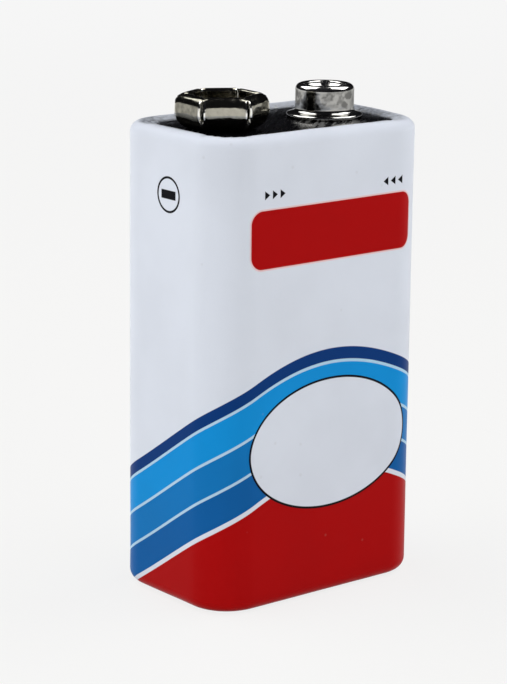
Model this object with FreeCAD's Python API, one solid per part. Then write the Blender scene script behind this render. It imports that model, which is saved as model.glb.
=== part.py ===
import FreeCAD, Part
import math
import os

# A nine volt battery of six flat cells in a crimped tinplate jacket, in millimetres.
# The battery stands on its base. +Z is up, X runs from the socket (-X) to the stud (+X),
# and the origin is the middle of the standing face.

# Jacket
body_length = 26.0
body_width = 17.0
body_height = 45.6
corner_radius = 4.4
jacket_sheet = 0.28
crimp_radius = 1.1
crimp_reach = 2.1
crimp_slope = 12.0
base_crimp_reach = 2.4
seam_lap = 4.0
seam_slit = 0.12
fit_clearance = 0.05

# Terminal board and base plate
board_thickness = 1.2
base_plate_thickness = 1.0
shank_radius = 1.5
shank_clearance = 0.05

# Terminals: their axes stand in from the ends of the body, 12.7 apart in one 26.0 long
terminal_inset = 6.65
terminal_height = 3.36
terminal_sheet = 0.3
stud_radius = 2.86
stud_flange_radius = 3.7
stud_bead_radius = 0.5
stud_dish_radius = 1.45
stud_dish_depth = 0.55
stud_dish_swell = 0.58
stud_root_fillet = 0.35
rivet_flare_radius = 2.3

# Socket: six petals that rise from a cup, fold over inwards and grip the mating stud
petal_count = 6
socket_across_flats = 8.0
socket_grip_across = 5.72
socket_turn = -3.5
socket_corner_radius = 0.5
socket_foot_round = 0.24
socket_cup_height = 1.2
leaf_length = 1.9
leaf_waist_share = 0.35
leaf_flare = 0.22
slot_width = 0.5
slot_foot = 0.9
slot_head_drop = 0.62
slot_reach = 0.75
mitre_gap = 0.12
rivet_head_radius = 2.1
rivet_head_height = 0.45
rivet_bore_share = 0.5

# Contact strips
strip_thickness = 0.25
strip_bend = 0.3
negative_strip_width = 5.0
strip_foot_length = 17.0
tab_width = 5.0
tab_overhang = 2.9
tab_drop_run = 1.6
tab_toe = 2.2

# Pile of cells and what holds it
cell_count = 6
liner_thickness = 0.45
base_card_thickness = 0.4
wrap_thickness = 0.3
spacer_thickness = 1.5
end_plate_thickness = 0.3
band_wall = 0.35
band_lip = 1.3
electrode_thickness = 0.5
electrolyte_paper_thickness = 0.2
tray_paper = 0.2
tray_wall_share = 0.6
cake_margin = 0.3

# Levels, from the standing face up
edge_round = crimp_radius - jacket_sheet
slope = math.radians(crimp_slope)
lip_run = crimp_reach - crimp_radius - crimp_radius * math.sin(slope)
crest_drop = crimp_radius * (1 - math.cos(slope))
lip_end_height = body_height - crest_drop - lip_run * math.tan(slope)
board_top = lip_end_height - jacket_sheet / 2 * (math.cos(slope) + 1)
board_bottom = board_top - board_thickness
strip_level = board_bottom - strip_thickness
flare_bottom = strip_level - terminal_sheet
base_plate_bottom = jacket_sheet
base_plate_top = base_plate_bottom + base_plate_thickness
base_card_top = base_plate_top + base_card_thickness
pile_bottom = base_card_top + strip_thickness
wrap_top = flare_bottom - spacer_thickness
end_plate_top = wrap_top - wrap_thickness
pile_top = end_plate_top - end_plate_thickness
cell_pitch = (pile_top - pile_bottom) / cell_count
terminal_top = board_top + terminal_height

def inset(plan, depth_x, depth_y=None):
    """A rounded rectangle taken in by depth_x at its ends and depth_y at its sides."""
    depth_y = depth_x if depth_y is None else depth_y
    length, width, radius = plan
    return length - 2 * depth_x, width - 2 * depth_y, radius - min(depth_x, depth_y)


# Plan sizes, from the jacket inwards: each is (length, width, corner radius)
jacket_plan = (body_length, body_width, corner_radius)
jacket_inside = inset(jacket_plan, jacket_sheet)
board_plan = inset(jacket_inside, fit_clearance)
liner_plan = inset(jacket_inside, jacket_sheet + fit_clearance, fit_clearance)
liner_inside = inset(liner_plan, liner_thickness)
card_plan = inset(liner_inside, fit_clearance)
wrap_plan = inset(liner_inside, strip_thickness + fit_clearance, fit_clearance)
wrap_inside = inset(wrap_plan, wrap_thickness)
band_plan = inset(wrap_inside, fit_clearance)
band_inside = inset(band_plan, band_wall)
band_window = inset(band_inside, band_lip)
electrode_plan = inset(band_inside, fit_clearance)
tray_plan = inset(electrode_plan, cake_margin)
cake_plan = inset(tray_plan, tray_paper + fit_clearance)
cake_pad_plan = inset(band_window, fit_clearance)

hole_radius = shank_radius + shank_clearance
stud_x = body_length / 2 - terminal_inset
socket_x = terminal_inset - body_length / 2
tab_heel_x = stud_x - tab_overhang - strip_bend


def at(x, y, z):
    return FreeCAD.Vector(x, y, z)


def arc_through(start, middle, end):
    return Part.Arc(start, middle, end).toShape()


def line(start, end):
    return Part.LineSegment(start, end).toShape()


def rounded_outline(plan, z):
    """A rounded rectangle as a wire at height z, centred on the Z axis."""
    length, width, radius = plan
    edges = []
    inner_x, inner_y = length / 2 - radius, width / 2 - radius
    middles = [(inner_x, inner_y), (-inner_x, inner_y), (-inner_x, -inner_y), (inner_x, -inner_y)]
    ends = []
    for quarter, (x, y) in enumerate(middles):
        points = []
        for step in range(3):
            turn = math.radians(90 * quarter + 45 * step)
            points.append(at(x + radius * math.cos(turn), y + radius * math.sin(turn), z))
        ends.append((points[0], points[2]))
        edges.append(arc_through(*points))
        if quarter:
            edges.insert(-1, line(ends[quarter - 1][1], points[0]))
    edges.append(line(ends[3][1], ends[0][0]))
    return Part.Wire(edges)


def rounded_block(plan, bottom, top):
    """An upright block with a rounded rectangle as its plan."""
    face = Part.Face(rounded_outline(plan, bottom))
    return face.extrude(at(0, 0, top - bottom))


def rounded_tube(outer_plan, inner_plan, bottom, top):
    outer = rounded_block(outer_plan, bottom, top)
    return outer.cut(rounded_block(inner_plan, bottom, top))


def level_edges(shape, z):
    """The edges of a shape that lie wholly at height z."""
    found = []
    for edge in shape.Edges:
        box = edge.BoundBox
        if abs(box.ZMin - z) < 1e-6 and abs(box.ZMax - z) < 1e-6:
            found.append(edge)
    return found


def upright_cylinder(x, radius, bottom, top):
    return Part.makeCylinder(radius, top - bottom, at(x, 0, bottom))


def turned(edges, x):
    """A solid of revolution about the upright axis at x, from a closed section of edges in the XZ plane."""
    face = Part.Face(Part.Wire(edges))
    solid = face.revolve(at(0, 0, 0), at(0, 0, 1), 360)
    solid.translate(at(x, 0, 0))
    return solid


def jacket_section():
    """The jacket's sheet in section, as (depth in from the outer wall, height), lips included."""
    outer, inner = crimp_radius, crimp_radius - jacket_sheet
    base_centre = (crimp_radius, crimp_radius)
    top_centre = (crimp_radius, body_height - crimp_radius)

    def polar(centre, radius, degrees):
        turn = math.radians(degrees)
        return centre[0] + radius * math.cos(turn), centre[1] + radius * math.sin(turn)

    lip_angle = 90 - crimp_slope
    mid_angle = (180 + lip_angle) / 2
    base_end_middle = (base_crimp_reach + jacket_sheet / 2, jacket_sheet / 2)
    lip_start = polar(top_centre, outer, lip_angle)
    lip_inner_start = polar(top_centre, inner, lip_angle)
    slide = lip_run / math.cos(slope)
    along = (math.cos(slope), -math.sin(slope))
    lip_end = (lip_start[0] + slide * along[0], lip_start[1] + slide * along[1])
    lip_inner_end = (lip_inner_start[0] + slide * along[0], lip_inner_start[1] + slide * along[1])
    lip_tip = (
        (lip_end[0] + lip_inner_end[0]) / 2 + jacket_sheet / 2 * along[0],
        (lip_end[1] + lip_inner_end[1]) / 2 + jacket_sheet / 2 * along[1],
    )
    return [
        ("line", (base_crimp_reach, 0), (crimp_radius, 0)),
        ("arc", (crimp_radius, 0), polar(base_centre, outer, 225), (0, crimp_radius)),
        ("line", (0, crimp_radius), (0, body_height - crimp_radius)),
        ("arc", (0, body_height - crimp_radius), polar(top_centre, outer, mid_angle), lip_start),
        ("line", lip_start, lip_end),
        ("arc", lip_end, lip_tip, lip_inner_end),
        ("line", lip_inner_end, lip_inner_start),
        (
            "arc",
            lip_inner_start,
            polar(top_centre, inner, mid_angle),
            (jacket_sheet, body_height - crimp_radius),
        ),
        ("line", (jacket_sheet, body_height - crimp_radius), (jacket_sheet, crimp_radius)),
        (
            "arc",
            (jacket_sheet, crimp_radius),
            polar(base_centre, inner, 225),
            (crimp_radius, jacket_sheet),
        ),
        ("line", (crimp_radius, jacket_sheet), (base_crimp_reach, jacket_sheet)),
        ("arc", (base_crimp_reach, jacket_sheet), base_end_middle, (base_crimp_reach, 0)),
    ]


def jacket_wall():
    """The section carried round the rounded plan: four straight runs and four turned corners."""
    edges = []
    for kind, *points in jacket_section():
        placed = [at(corner_radius - depth, 0, height) for depth, height in points]
        edges.append(line(*placed) if kind == "line" else arc_through(*placed))
    section = Part.Face(Part.Wire(edges))
    inner_x, inner_y = body_length / 2 - corner_radius, body_width / 2 - corner_radius
    corners = [(inner_x, inner_y), (-inner_x, inner_y), (-inner_x, -inner_y), (inner_x, -inner_y)]
    pieces = []
    for quarter, (x, y) in enumerate(corners):
        here = section.copy()
        here.rotate(at(0, 0, 0), at(0, 0, 1), 90 * quarter)
        here.translate(at(x, y, 0))
        pieces.append(here.revolve(at(x, y, 0), at(0, 0, 1), 90))
        before_x, before_y = corners[quarter - 1]
        pieces.append(here.extrude(at(before_x - x, before_y - y, 0)))
    return pieces[0].multiFuse(pieces[1:]).removeSplitter()


def jacket():
    """The wrapped sheet: at the seam one end steps in behind the other, and is cleared at both crimps."""
    wall = jacket_wall()
    lap_face = body_length / 2 - jacket_sheet
    lap_bottom = max(base_plate_top, crimp_radius) + fit_clearance
    lap_top = min(board_bottom, body_height - crimp_radius) - fit_clearance
    lap = Part.makeBox(
        jacket_sheet,
        seam_lap,
        lap_top - lap_bottom,
        at(lap_face - jacket_sheet, -seam_lap / 2, lap_bottom),
    )
    slit_depth = max(crimp_reach, base_crimp_reach) + jacket_sheet
    through_lips = Part.makeBox(
        slit_depth, seam_slit, body_height, at(body_length / 2 - slit_depth, -seam_slit / 2, 0)
    )
    inside = rounded_block(jacket_inside, lap_bottom, lap_top)
    return wall.cut(through_lips.cut(inside)).fuse(lap).removeSplitter()


def terminal_board():
    """The black board that carries both terminals, its top edge rounded to lie inside the crimp."""
    board = rounded_block(board_plan, board_bottom, board_top)
    board = board.makeFillet(edge_round, level_edges(board, board_top))
    for x in (stud_x, socket_x):
        board = board.cut(upright_cylinder(x, hole_radius, board_bottom, board_top))
    return board


def base_plate():
    plate = rounded_block(board_plan, base_plate_bottom, base_plate_top)
    return plate.makeFillet(edge_round, level_edges(plate, base_plate_bottom))


def flared_shank(top):
    """The section of a tubular shank flared out under its strip: down its outside and up its bore to top."""
    bore = shank_radius - terminal_sheet
    trumpet = terminal_sheet
    mouth = bore + trumpet * (1 - math.cos(math.pi / 4))
    return [
        line(at(shank_radius, 0, top), at(shank_radius, 0, strip_level)),
        line(at(shank_radius, 0, strip_level), at(rivet_flare_radius, 0, strip_level)),
        line(at(rivet_flare_radius, 0, strip_level), at(rivet_flare_radius, 0, flare_bottom)),
        line(at(rivet_flare_radius, 0, flare_bottom), at(bore + trumpet, 0, flare_bottom)),
        arc_through(
            at(bore + trumpet, 0, flare_bottom),
            at(mouth, 0, flare_bottom + trumpet * (1 - math.sin(math.pi / 4))),
            at(bore, 0, flare_bottom + trumpet),
        ),
        line(at(bore, 0, flare_bottom + trumpet), at(bore, 0, top)),
    ]


def positive_stud():
    """One drawn piece: dished head with a rolled bead, plain neck, folded flange and flared shank."""
    sheet = terminal_sheet
    foot = board_top + 2 * sheet
    neck = stud_radius
    bead = stud_bead_radius
    bead_x, bead_z = neck - bead, terminal_top - bead
    dish_z = terminal_top - stud_dish_depth
    fold = sheet
    root = stud_root_fillet
    diagonal = math.sqrt(0.5)
    wall_x, roof_z = neck - sheet, dish_z - sheet
    dish_edge = at(stud_dish_radius, 0, dish_z)
    crown = at(bead_x, 0, terminal_top)
    dish_rise = at((stud_dish_radius + bead_x) / 2, 0, dish_z + stud_dish_depth * stud_dish_swell)
    outside = [
        line(at(0, 0, dish_z), dish_edge),
        arc_through(dish_edge, dish_rise, crown),
        arc_through(
            crown,
            at(bead_x + bead * diagonal, 0, bead_z + bead * diagonal),
            at(neck, 0, bead_z),
        ),
        line(at(neck, 0, bead_z), at(neck, 0, foot + root)),
        arc_through(
            at(neck, 0, foot + root),
            at(neck + root * (1 - diagonal), 0, foot + root * (1 - diagonal)),
            at(neck + root, 0, foot),
        ),
        line(at(neck + root, 0, foot), at(stud_flange_radius - fold, 0, foot)),
        arc_through(
            at(stud_flange_radius - fold, 0, foot),
            at(stud_flange_radius, 0, board_top + sheet),
            at(stud_flange_radius - fold, 0, board_top),
        ),
        line(at(stud_flange_radius - fold, 0, board_top), at(shank_radius, 0, board_top)),
    ]
    inside = [
        line(at(shank_radius - sheet, 0, board_top), at(shank_radius - sheet, 0, board_top + sheet)),
        line(at(shank_radius - sheet, 0, board_top + sheet), at(wall_x, 0, board_top + sheet)),
        line(at(wall_x, 0, board_top + sheet), at(wall_x, 0, roof_z)),
        line(at(wall_x, 0, roof_z), at(0, 0, roof_z)),
        line(at(0, 0, roof_z), at(0, 0, dish_z)),
    ]
    return turned(outside + flared_shank(board_top) + inside, stud_x)


def socket_rivet():
    """The tubular rivet that holds the socket down, domed above and flared under the negative strip."""
    seat = board_top + terminal_sheet
    crown = seat + rivet_head_height
    bore = shank_radius - terminal_sheet
    bore_top = board_bottom + board_thickness * rivet_bore_share
    dome = (rivet_head_radius ** 2 + rivet_head_height ** 2) / (2 * rivet_head_height)
    half_way = math.asin(rivet_head_radius / dome) / 2
    dome_middle = at(dome * math.sin(half_way), 0, crown - dome * (1 - math.cos(half_way)))
    head = [
        line(at(0, 0, bore_top), at(0, 0, crown)),
        arc_through(at(0, 0, crown), dome_middle, at(rivet_head_radius, 0, seat)),
        line(at(rivet_head_radius, 0, seat), at(shank_radius, 0, seat)),
        line(at(shank_radius, 0, seat), at(shank_radius, 0, bore_top)),
    ]
    roof = line(at(bore, 0, bore_top), at(0, 0, bore_top))
    return turned(head + flared_shank(bore_top) + [roof], socket_x)


def polygon_block(flat_distance, radius, bottom, top):
    """An upright block with a regular polygon of petal_count sides as its plan, its corners rounded."""
    half = math.pi / petal_count
    edges = []
    previous = None
    first = None
    for side in range(petal_count):
        corner_turn = half + 2 * half * side
        reach = (flat_distance - radius) / math.cos(half)
        middle_x, middle_y = reach * math.cos(corner_turn), reach * math.sin(corner_turn)
        points = []
        for turn in (corner_turn - half, corner_turn, corner_turn + half):
            points.append(
                at(middle_x + radius * math.cos(turn), middle_y + radius * math.sin(turn), bottom)
            )
        if previous is None:
            first = points[0]
        else:
            edges.append(line(previous, points[0]))
        edges.append(arc_through(*points))
        previous = points[2]
    edges.append(line(previous, first))
    return Part.Face(Part.Wire(edges)).extrude(at(0, 0, top - bottom))


def socket_cup():
    """The closed lower part of the socket: its floor on the board and the foot of its six walls."""
    flat = socket_across_flats / 2
    top = board_top + socket_cup_height
    inside_flat = flat - terminal_sheet
    inside_radius = socket_corner_radius - terminal_sheet
    outer = polygon_block(flat, socket_corner_radius, board_top, top)
    outer = outer.makeFillet(socket_foot_round, level_edges(outer, board_top))
    return outer.cut(polygon_block(inside_flat, inside_radius, board_top + terminal_sheet, top))


def petal_section():
    """One petal in section, as a wire in the XZ plane: wall, fold and the leaf that grips."""
    sheet = terminal_sheet
    flat = socket_across_flats / 2
    grip = socket_grip_across / 2
    fold = (flat - grip) / 2
    foot = board_top + socket_cup_height
    fold_z = terminal_top - fold
    leaf_end = terminal_top - leaf_length
    waist = leaf_end + leaf_length * leaf_waist_share
    toe = grip + leaf_flare
    return Part.Wire([
        line(at(flat, 0, foot), at(flat, 0, fold_z)),
        arc_through(at(flat, 0, fold_z), at(flat - fold, 0, terminal_top), at(grip, 0, fold_z)),
        line(at(grip, 0, fold_z), at(grip, 0, waist)),
        line(at(grip, 0, waist), at(toe, 0, leaf_end)),
        line(at(toe, 0, leaf_end), at(toe + sheet, 0, leaf_end)),
        line(at(toe + sheet, 0, leaf_end), at(grip + sheet, 0, waist)),
        line(at(grip + sheet, 0, waist), at(grip + sheet, 0, fold_z)),
        arc_through(
            at(grip + sheet, 0, fold_z),
            at(flat - fold, 0, terminal_top - sheet),
            at(flat - sheet, 0, fold_z),
        ),
        line(at(flat - sheet, 0, fold_z), at(flat - sheet, 0, foot)),
        line(at(flat - sheet, 0, foot), at(flat, 0, foot)),
    ])


def socket_petals():
    """The six petals, their ends mitred to each other like a picture frame's, with a fine gap between."""
    half = math.pi / petal_count
    reach = socket_across_flats
    foot = board_top + socket_cup_height
    apex = mitre_gap / 2 / math.sin(half)
    side = 2 * (reach - apex) * math.tan(half)
    slab = Part.Face(petal_section()).extrude(at(0, side, 0))
    slab.translate(at(0, -side / 2, 0))
    corners = [at(apex, 0, foot), at(reach, -side / 2, foot), at(reach, side / 2, foot), at(apex, 0, foot)]
    wedge = Part.Face(Part.makePolygon(corners)).extrude(at(0, 0, terminal_height))
    petal = slab.common(wedge)
    petals = []
    for number in range(petal_count):
        one = petal.copy()
        one.rotate(at(0, 0, 0), at(0, 0, 1), 360 / petal_count * number)
        petals.append(one)
    return petals


def corner_slot():
    """The round-ended slot that parts two petals' walls at a corner."""
    start = socket_across_flats / 2 - slot_reach
    past_corner = socket_across_flats / 2 / math.cos(math.pi / petal_count) + terminal_sheet
    slot_bottom = board_top + slot_foot
    slot_top = terminal_top - slot_head_drop
    radius = slot_width / 2
    straight = slot_top - slot_bottom - slot_width
    slot = Part.makeBox(past_corner - start, slot_width, straight, at(start, -radius, slot_bottom + radius))
    for z in (slot_bottom + radius, slot_top - radius):
        slot = slot.fuse(Part.makeCylinder(radius, past_corner - start, at(start, 0, z), at(1, 0, 0)))
    return slot.removeSplitter()


def negative_socket():
    socket = socket_cup().multiFuse(socket_petals())
    slot = corner_slot()
    for number in range(petal_count):
        one = slot.copy()
        one.rotate(at(0, 0, 0), at(0, 0, 1), 360 / petal_count * (number + 0.5))
        socket = socket.cut(one)
    socket = socket.cut(upright_cylinder(0, hole_radius, board_top, board_top + terminal_sheet))
    socket = socket.removeSplitter()
    socket.rotate(at(0, 0, 0), at(0, 0, 1), socket_turn)
    socket.translate(at(socket_x, 0, 0))
    return socket


def folded_strip(points, width):
    """A strip folded along a middle line of (x, z) points in the XZ plane, with round bends."""
    half = strip_thickness / 2
    bend = strip_bend + half
    left, right = [], []
    starts = [FreeCAD.Vector(x, 0, z) for x, z in points]
    directions = []
    for first, second in zip(starts, starts[1:]):
        directions.append((second - first).normalize())
    sides = [FreeCAD.Vector(-d.z, 0, d.x) for d in directions]
    left_at, right_at = starts[0] + sides[0] * half, starts[0] - sides[0] * half
    ends = [line(left_at, right_at)]
    for number in range(1, len(directions)):
        before, after = directions[number - 1], directions[number]
        turn = math.atan2(before.z * after.x - before.x * after.z, before.dot(after))
        inward = sides[number - 1] * (-1 if turn > 0 else 1)
        tangent = bend * math.tan(abs(turn) / 2)
        bend_start = starts[number] - before * tangent
        bend_end = starts[number] + after * tangent
        centre = bend_start + inward * bend
        out = (starts[number] - centre).normalize()
        for edges, sign in ((left, 1), (right, -1)):
            here = left_at if sign == 1 else right_at
            straight_end = bend_start + sides[number - 1] * half * sign
            curve_end = bend_end + sides[number] * half * sign
            radius = (straight_end - centre).Length
            edges.append(line(here, straight_end))
            edges.append(arc_through(straight_end, centre + out * radius, curve_end))
            if sign == 1:
                left_at = curve_end
            else:
                right_at = curve_end
    left_end = starts[-1] + sides[-1] * half
    right_end = starts[-1] - sides[-1] * half
    left.append(line(left_at, left_end))
    right.append(line(right_at, right_end))
    ends.append(line(left_end, right_end))
    section = Part.Face(Part.Wire(Part.__sortEdges__(left + right + ends)))
    strip = section.extrude(at(0, width, 0))
    strip.translate(at(0, -width / 2, 0))
    return strip


def negative_strip():
    """From under the pile, up the side of the wrap and over to the socket's rivet."""
    half = strip_thickness / 2
    riser_x = -liner_inside[0] / 2 + fit_clearance / 2 + half
    foot_z = base_card_top + half
    flag_z = strip_level + half
    path = [
        (riser_x + strip_foot_length, foot_z),
        (riser_x, foot_z),
        (riser_x, flag_z),
        (socket_x + tab_overhang, flag_z),
    ]
    strip = folded_strip(path, negative_strip_width)
    return strip.cut(upright_cylinder(socket_x, hole_radius, strip_level, board_bottom))


def positive_tab():
    """From the stud's shank to a sprung toe on the positive end plate."""
    half = strip_thickness / 2
    flag_z = strip_level + half
    toe_z = end_plate_top + half
    path = [
        (stud_x + tab_overhang, flag_z),
        (tab_heel_x, flag_z),
        (tab_heel_x - tab_drop_run, toe_z),
        (tab_heel_x - tab_drop_run - tab_toe, toe_z),
    ]
    tab = folded_strip(path, tab_width)
    return tab.cut(upright_cylinder(stud_x, hole_radius, strip_level, board_bottom))


def carton_liner():
    return rounded_tube(liner_plan, liner_inside, base_plate_top, board_bottom)


def base_card():
    return rounded_block(card_plan, base_plate_top, base_card_top)


def spacer_card():
    """The card between the wrapped pile and the rivets, with a window where the tab's toe comes down."""
    margin = strip_bend + strip_thickness
    spacer = rounded_block(wrap_plan, wrap_top, flare_bottom)
    window_start = tab_heel_x - tab_drop_run - tab_toe - margin
    window_end = tab_heel_x + margin
    window = Part.makeBox(
        window_end - window_start,
        tab_width + 2 * margin,
        flare_bottom - wrap_top,
        at(window_start, -tab_width / 2 - margin, wrap_top),
    )
    return spacer.cut(window)


def end_plate():
    plate_plan = inset(wrap_inside, fit_clearance)
    return rounded_block(plate_plan, pile_top, end_plate_top)


def pile_wrap():
    """The sealing wrap round the pile, from above the strip's lower bend to over the end plate's rim."""
    sleeve = rounded_tube(wrap_plan, wrap_inside, pile_bottom + strip_bend, end_plate_top)
    lip = rounded_tube(wrap_plan, band_window, end_plate_top, wrap_top)
    return sleeve.fuse(lip).removeSplitter()


def cell(number):
    """The five pieces of one flat cell, as {name: solid}, with its zinc face up and its cake on top."""
    floor = pile_bottom + cell_pitch * number
    top = floor + cell_pitch
    electrode_top = floor + electrode_thickness
    paper_top = electrode_top + electrolyte_paper_thickness
    tray_floor_top = paper_top + tray_paper
    shoulder = top - band_wall
    tray_top = tray_floor_top + (shoulder - tray_floor_top) * tray_wall_share
    tray_inside = inset(tray_plan, tray_paper)
    band = rounded_tube(band_plan, band_inside, floor, shoulder)
    band = band.fuse(rounded_tube(band_plan, band_window, shoulder, top)).removeSplitter()
    tray = rounded_block(tray_plan, paper_top, tray_top)
    tray = tray.cut(rounded_block(tray_inside, tray_floor_top, tray_top))
    cake = rounded_block(cake_plan, tray_floor_top, shoulder)
    cake = cake.fuse(rounded_block(cake_pad_plan, shoulder, top))
    label = number + 1
    return {
        f"zinc_electrode_{label}": rounded_block(electrode_plan, floor, electrode_top),
        f"electrolyte_paper_{label}": rounded_block(electrode_plan, electrode_top, paper_top),
        f"paper_tray_{label}": tray,
        f"mix_cake_{label}": cake,
        f"cell_band_{label}": band,
    }


def build():
    pieces = {
        "jacket": jacket(),
        "terminal_board": terminal_board(),
        "positive_stud": positive_stud(),
        "negative_socket": negative_socket(),
        "socket_rivet": socket_rivet(),
        "positive_tab": positive_tab(),
        "negative_strip": negative_strip(),
        "spacer_card": spacer_card(),
        "end_plate": end_plate(),
        "pile_wrap": pile_wrap(),
        "carton_liner": carton_liner(),
        "base_card": base_card(),
        "base_plate": base_plate(),
    }
    for number in range(cell_count):
        pieces.update(cell(number))
    return pieces


def main():
    os.makedirs("parts", exist_ok=True)
    for name, shape in build().items():
        shape.exportStep(os.path.join("parts", name + ".step"))


main()
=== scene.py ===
import math

import bpy
from mathutils import Matrix, Vector, noise


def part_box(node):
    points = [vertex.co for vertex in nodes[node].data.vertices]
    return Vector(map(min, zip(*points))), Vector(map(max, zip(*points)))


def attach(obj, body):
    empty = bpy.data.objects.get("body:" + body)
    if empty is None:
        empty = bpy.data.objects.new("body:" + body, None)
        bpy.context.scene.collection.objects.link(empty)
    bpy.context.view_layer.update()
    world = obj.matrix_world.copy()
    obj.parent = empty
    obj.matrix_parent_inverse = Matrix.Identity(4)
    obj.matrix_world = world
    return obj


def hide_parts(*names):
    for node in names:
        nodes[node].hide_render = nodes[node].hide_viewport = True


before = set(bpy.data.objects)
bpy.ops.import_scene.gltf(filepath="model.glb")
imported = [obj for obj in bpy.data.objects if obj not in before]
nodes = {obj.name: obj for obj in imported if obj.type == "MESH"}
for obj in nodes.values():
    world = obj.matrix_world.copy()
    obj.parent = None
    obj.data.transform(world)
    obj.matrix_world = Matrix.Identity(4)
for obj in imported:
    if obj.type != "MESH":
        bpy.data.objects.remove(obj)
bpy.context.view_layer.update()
scene = bpy.context.scene

# Lengths are in millimetres, and metres_per_mm turns them into the scene's metres.
metres_per_mm = 0.001

# The camera, fitted to the photograph: angles in degrees
camera_azimuth = -39.203
camera_elevation = 13.819
camera_roll = 0.642
camera_distance = 248.946
lens_length = 134.24
film_height = 36.0
target_height = 23.0
target_right = -1.698
target_up = 0.474

# The jacket's sheet, as in the part's source
jacket_low, jacket_high = (Vector(corner) / metres_per_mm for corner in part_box("jacket"))
body_length = jacket_high.x - jacket_low.x
body_width = jacket_high.y - jacket_low.y
body_height = jacket_high.z
corner_radius = 4.4
sheet = 0.28
crimp_radius = 1.1
crimp_reach = 2.1
base_crimp_reach = 2.4
seam_lap = 4.0
seam_gap = 0.12
half_flat_x = body_length / 2 - corner_radius
half_flat_y = body_width / 2 - corner_radius
corner_run = corner_radius * math.pi / 2
perimeter = 4 * (half_flat_x + half_flat_y + corner_run)
seam_place = half_flat_x + corner_run + half_flat_y

# The terminals
board_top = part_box("terminal_board")[1][2] / metres_per_mm
terminal_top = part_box("negative_socket")[1][2] / metres_per_mm
terminal_sheet = 0.3
terminal_inset = 6.65
stud_x = body_length / 2 - terminal_inset
socket_x = -stud_x
stud_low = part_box("positive_stud")[0][2] / metres_per_mm
shank_radius = 1.5
petal_count = 6
socket_turn = math.radians(-3.5)
socket_flat = 4.0
grip_radius = 2.86


def settle(thing, **settings):
    """Sets what a thing holds under each name, and gives the thing."""
    for name, value in settings.items():
        setattr(thing, name, value)
    return thing


def new_object(name, points, faces, material):
    """A smooth-shaded object from points in millimetres."""
    mesh = bpy.data.meshes.new(name)
    mesh.from_pydata([Vector(point) * metres_per_mm for point in points], [], faces)
    mesh.shade_smooth()
    mesh.materials.append(material)
    made = bpy.data.objects.new(name, mesh)
    scene.collection.objects.link(made)
    return made


def add_piece(name, points, faces, material, *replaced):
    """An object that rides on the root and stands for CAD nodes."""
    piece = new_object(name, points, faces, material)
    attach(piece, "root")
    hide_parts(*replaced)
    return piece


def mark_points(piece, name, values):
    """Stores a number for each point of a mesh, for its material to read."""
    piece.data.attributes.new(name, "FLOAT", "POINT").data.foreach_set("value", values)


def arc_points(centre, radius, start, end, steps):
    """Points on an arc from start to end, in degrees, as (across, up)."""
    points = []
    for step in range(steps + 1):
        turn = math.radians(start + (end - start) * step / steps)
        points.append((centre[0] + radius * math.cos(turn), centre[1] + radius * math.sin(turn)))
    return points


def smooth_step(low, high, value):
    share = min(max((value - low) / (high - low), 0.0), 1.0)
    return share * share * (3 - 2 * share)


# Shader helpers


def sign(operation, turned=False):
    """A method of Value for one of the plain signs, turned where its number comes first."""

    def work(self, *other):
        terms = (self, *other)
        return calc(operation, *(reversed(terms) if turned else terms))

    return work


class Value:
    """An output in a shader tree. Where it is a number, the plain signs add nodes that work it out."""

    __add__, __sub__, __mul__ = sign("ADD"), sign("SUBTRACT"), sign("MULTIPLY")
    __truediv__, __mod__ = sign("DIVIDE"), sign("MODULO")
    __rsub__, __rtruediv__ = sign("SUBTRACT", turned=True), sign("DIVIDE", turned=True)
    __abs__ = sign("ABSOLUTE")

    def __init__(self, socket):
        self.socket, self.tree = socket, socket.id_data

    def __neg__(self):
        return self * -1.0


def feed(holder, values):
    """Links each value to the node's input of its name, and writes plain numbers and colours there."""
    for name, value in values.items():
        if isinstance(value, Value):
            holder.id_data.links.new(value.socket, holder.inputs[name])
        else:
            holder.inputs[name].default_value = value


def add_node(tree, kind, inputs=None, **settings):
    made = settle(tree.nodes.new("ShaderNode" + kind), **settings)
    feed(made, inputs or {})
    return made


def read(tree, output, kind, inputs=None, **settings):
    """One output of a new node."""
    return Value(add_node(tree, kind, inputs, **settings).outputs[output])


def calc(operation, *terms):
    tree = next(term.tree for term in terms if isinstance(term, Value))
    return read(tree, 0, "Math", dict(enumerate(terms)), operation=operation)


def largest(*terms):
    result = terms[0]
    for term in terms[1:]:
        result = calc("MAXIMUM", result, term)
    return result


def blend(share, first, second, blend_type="MIX"):
    """First colour where share is 0, second where it is 1."""
    tree = next(term.tree for term in (share, first) if isinstance(term, Value))
    inputs = {0: share, 6: first, 7: second}
    return read(tree, 2, "Mix", inputs, data_type="RGBA", blend_type=blend_type)


def ramp(value, low, high, out_low=0.0, out_high=1.0):
    """A smooth rise from out_low to out_high as value goes from low to high."""
    limits = {"Value": value, "From Min": low, "From Max": high, "To Min": out_low, "To Max": out_high}
    return read(value.tree, "Result", "MapRange", limits, interpolation_type="SMOOTHSTEP")


def stretched(place, scale):
    return read(place.tree, "Vector", "Mapping", {"Vector": place, "Scale": scale})


def noise_at(place, scale, detail, distortion=0.0):
    inputs = {"Vector": place, "Scale": scale, "Detail": detail, "Distortion": distortion}
    return read(place.tree, "Fac", "TexNoise", inputs)


def point_mark(tree, name):
    """A number that a mesh holds for each of its points."""
    return read(tree, "Fac", "Attribute", attribute_name=name)


def object_place(tree):
    return read(tree, "Object", "TexCoord")


def toned(tint, share):
    """A darker or lighter colour of the same hue."""
    return tuple(min(1.0, share * part) for part in tint[:3]) + (1,)


def new_material(name):
    """A material, its Principled shader and the place on the object."""
    material = bpy.data.materials.new(name)
    material.use_nodes = True
    shader = material.node_tree.nodes["Principled BSDF"]
    return material, shader, object_place(material.node_tree)


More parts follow.
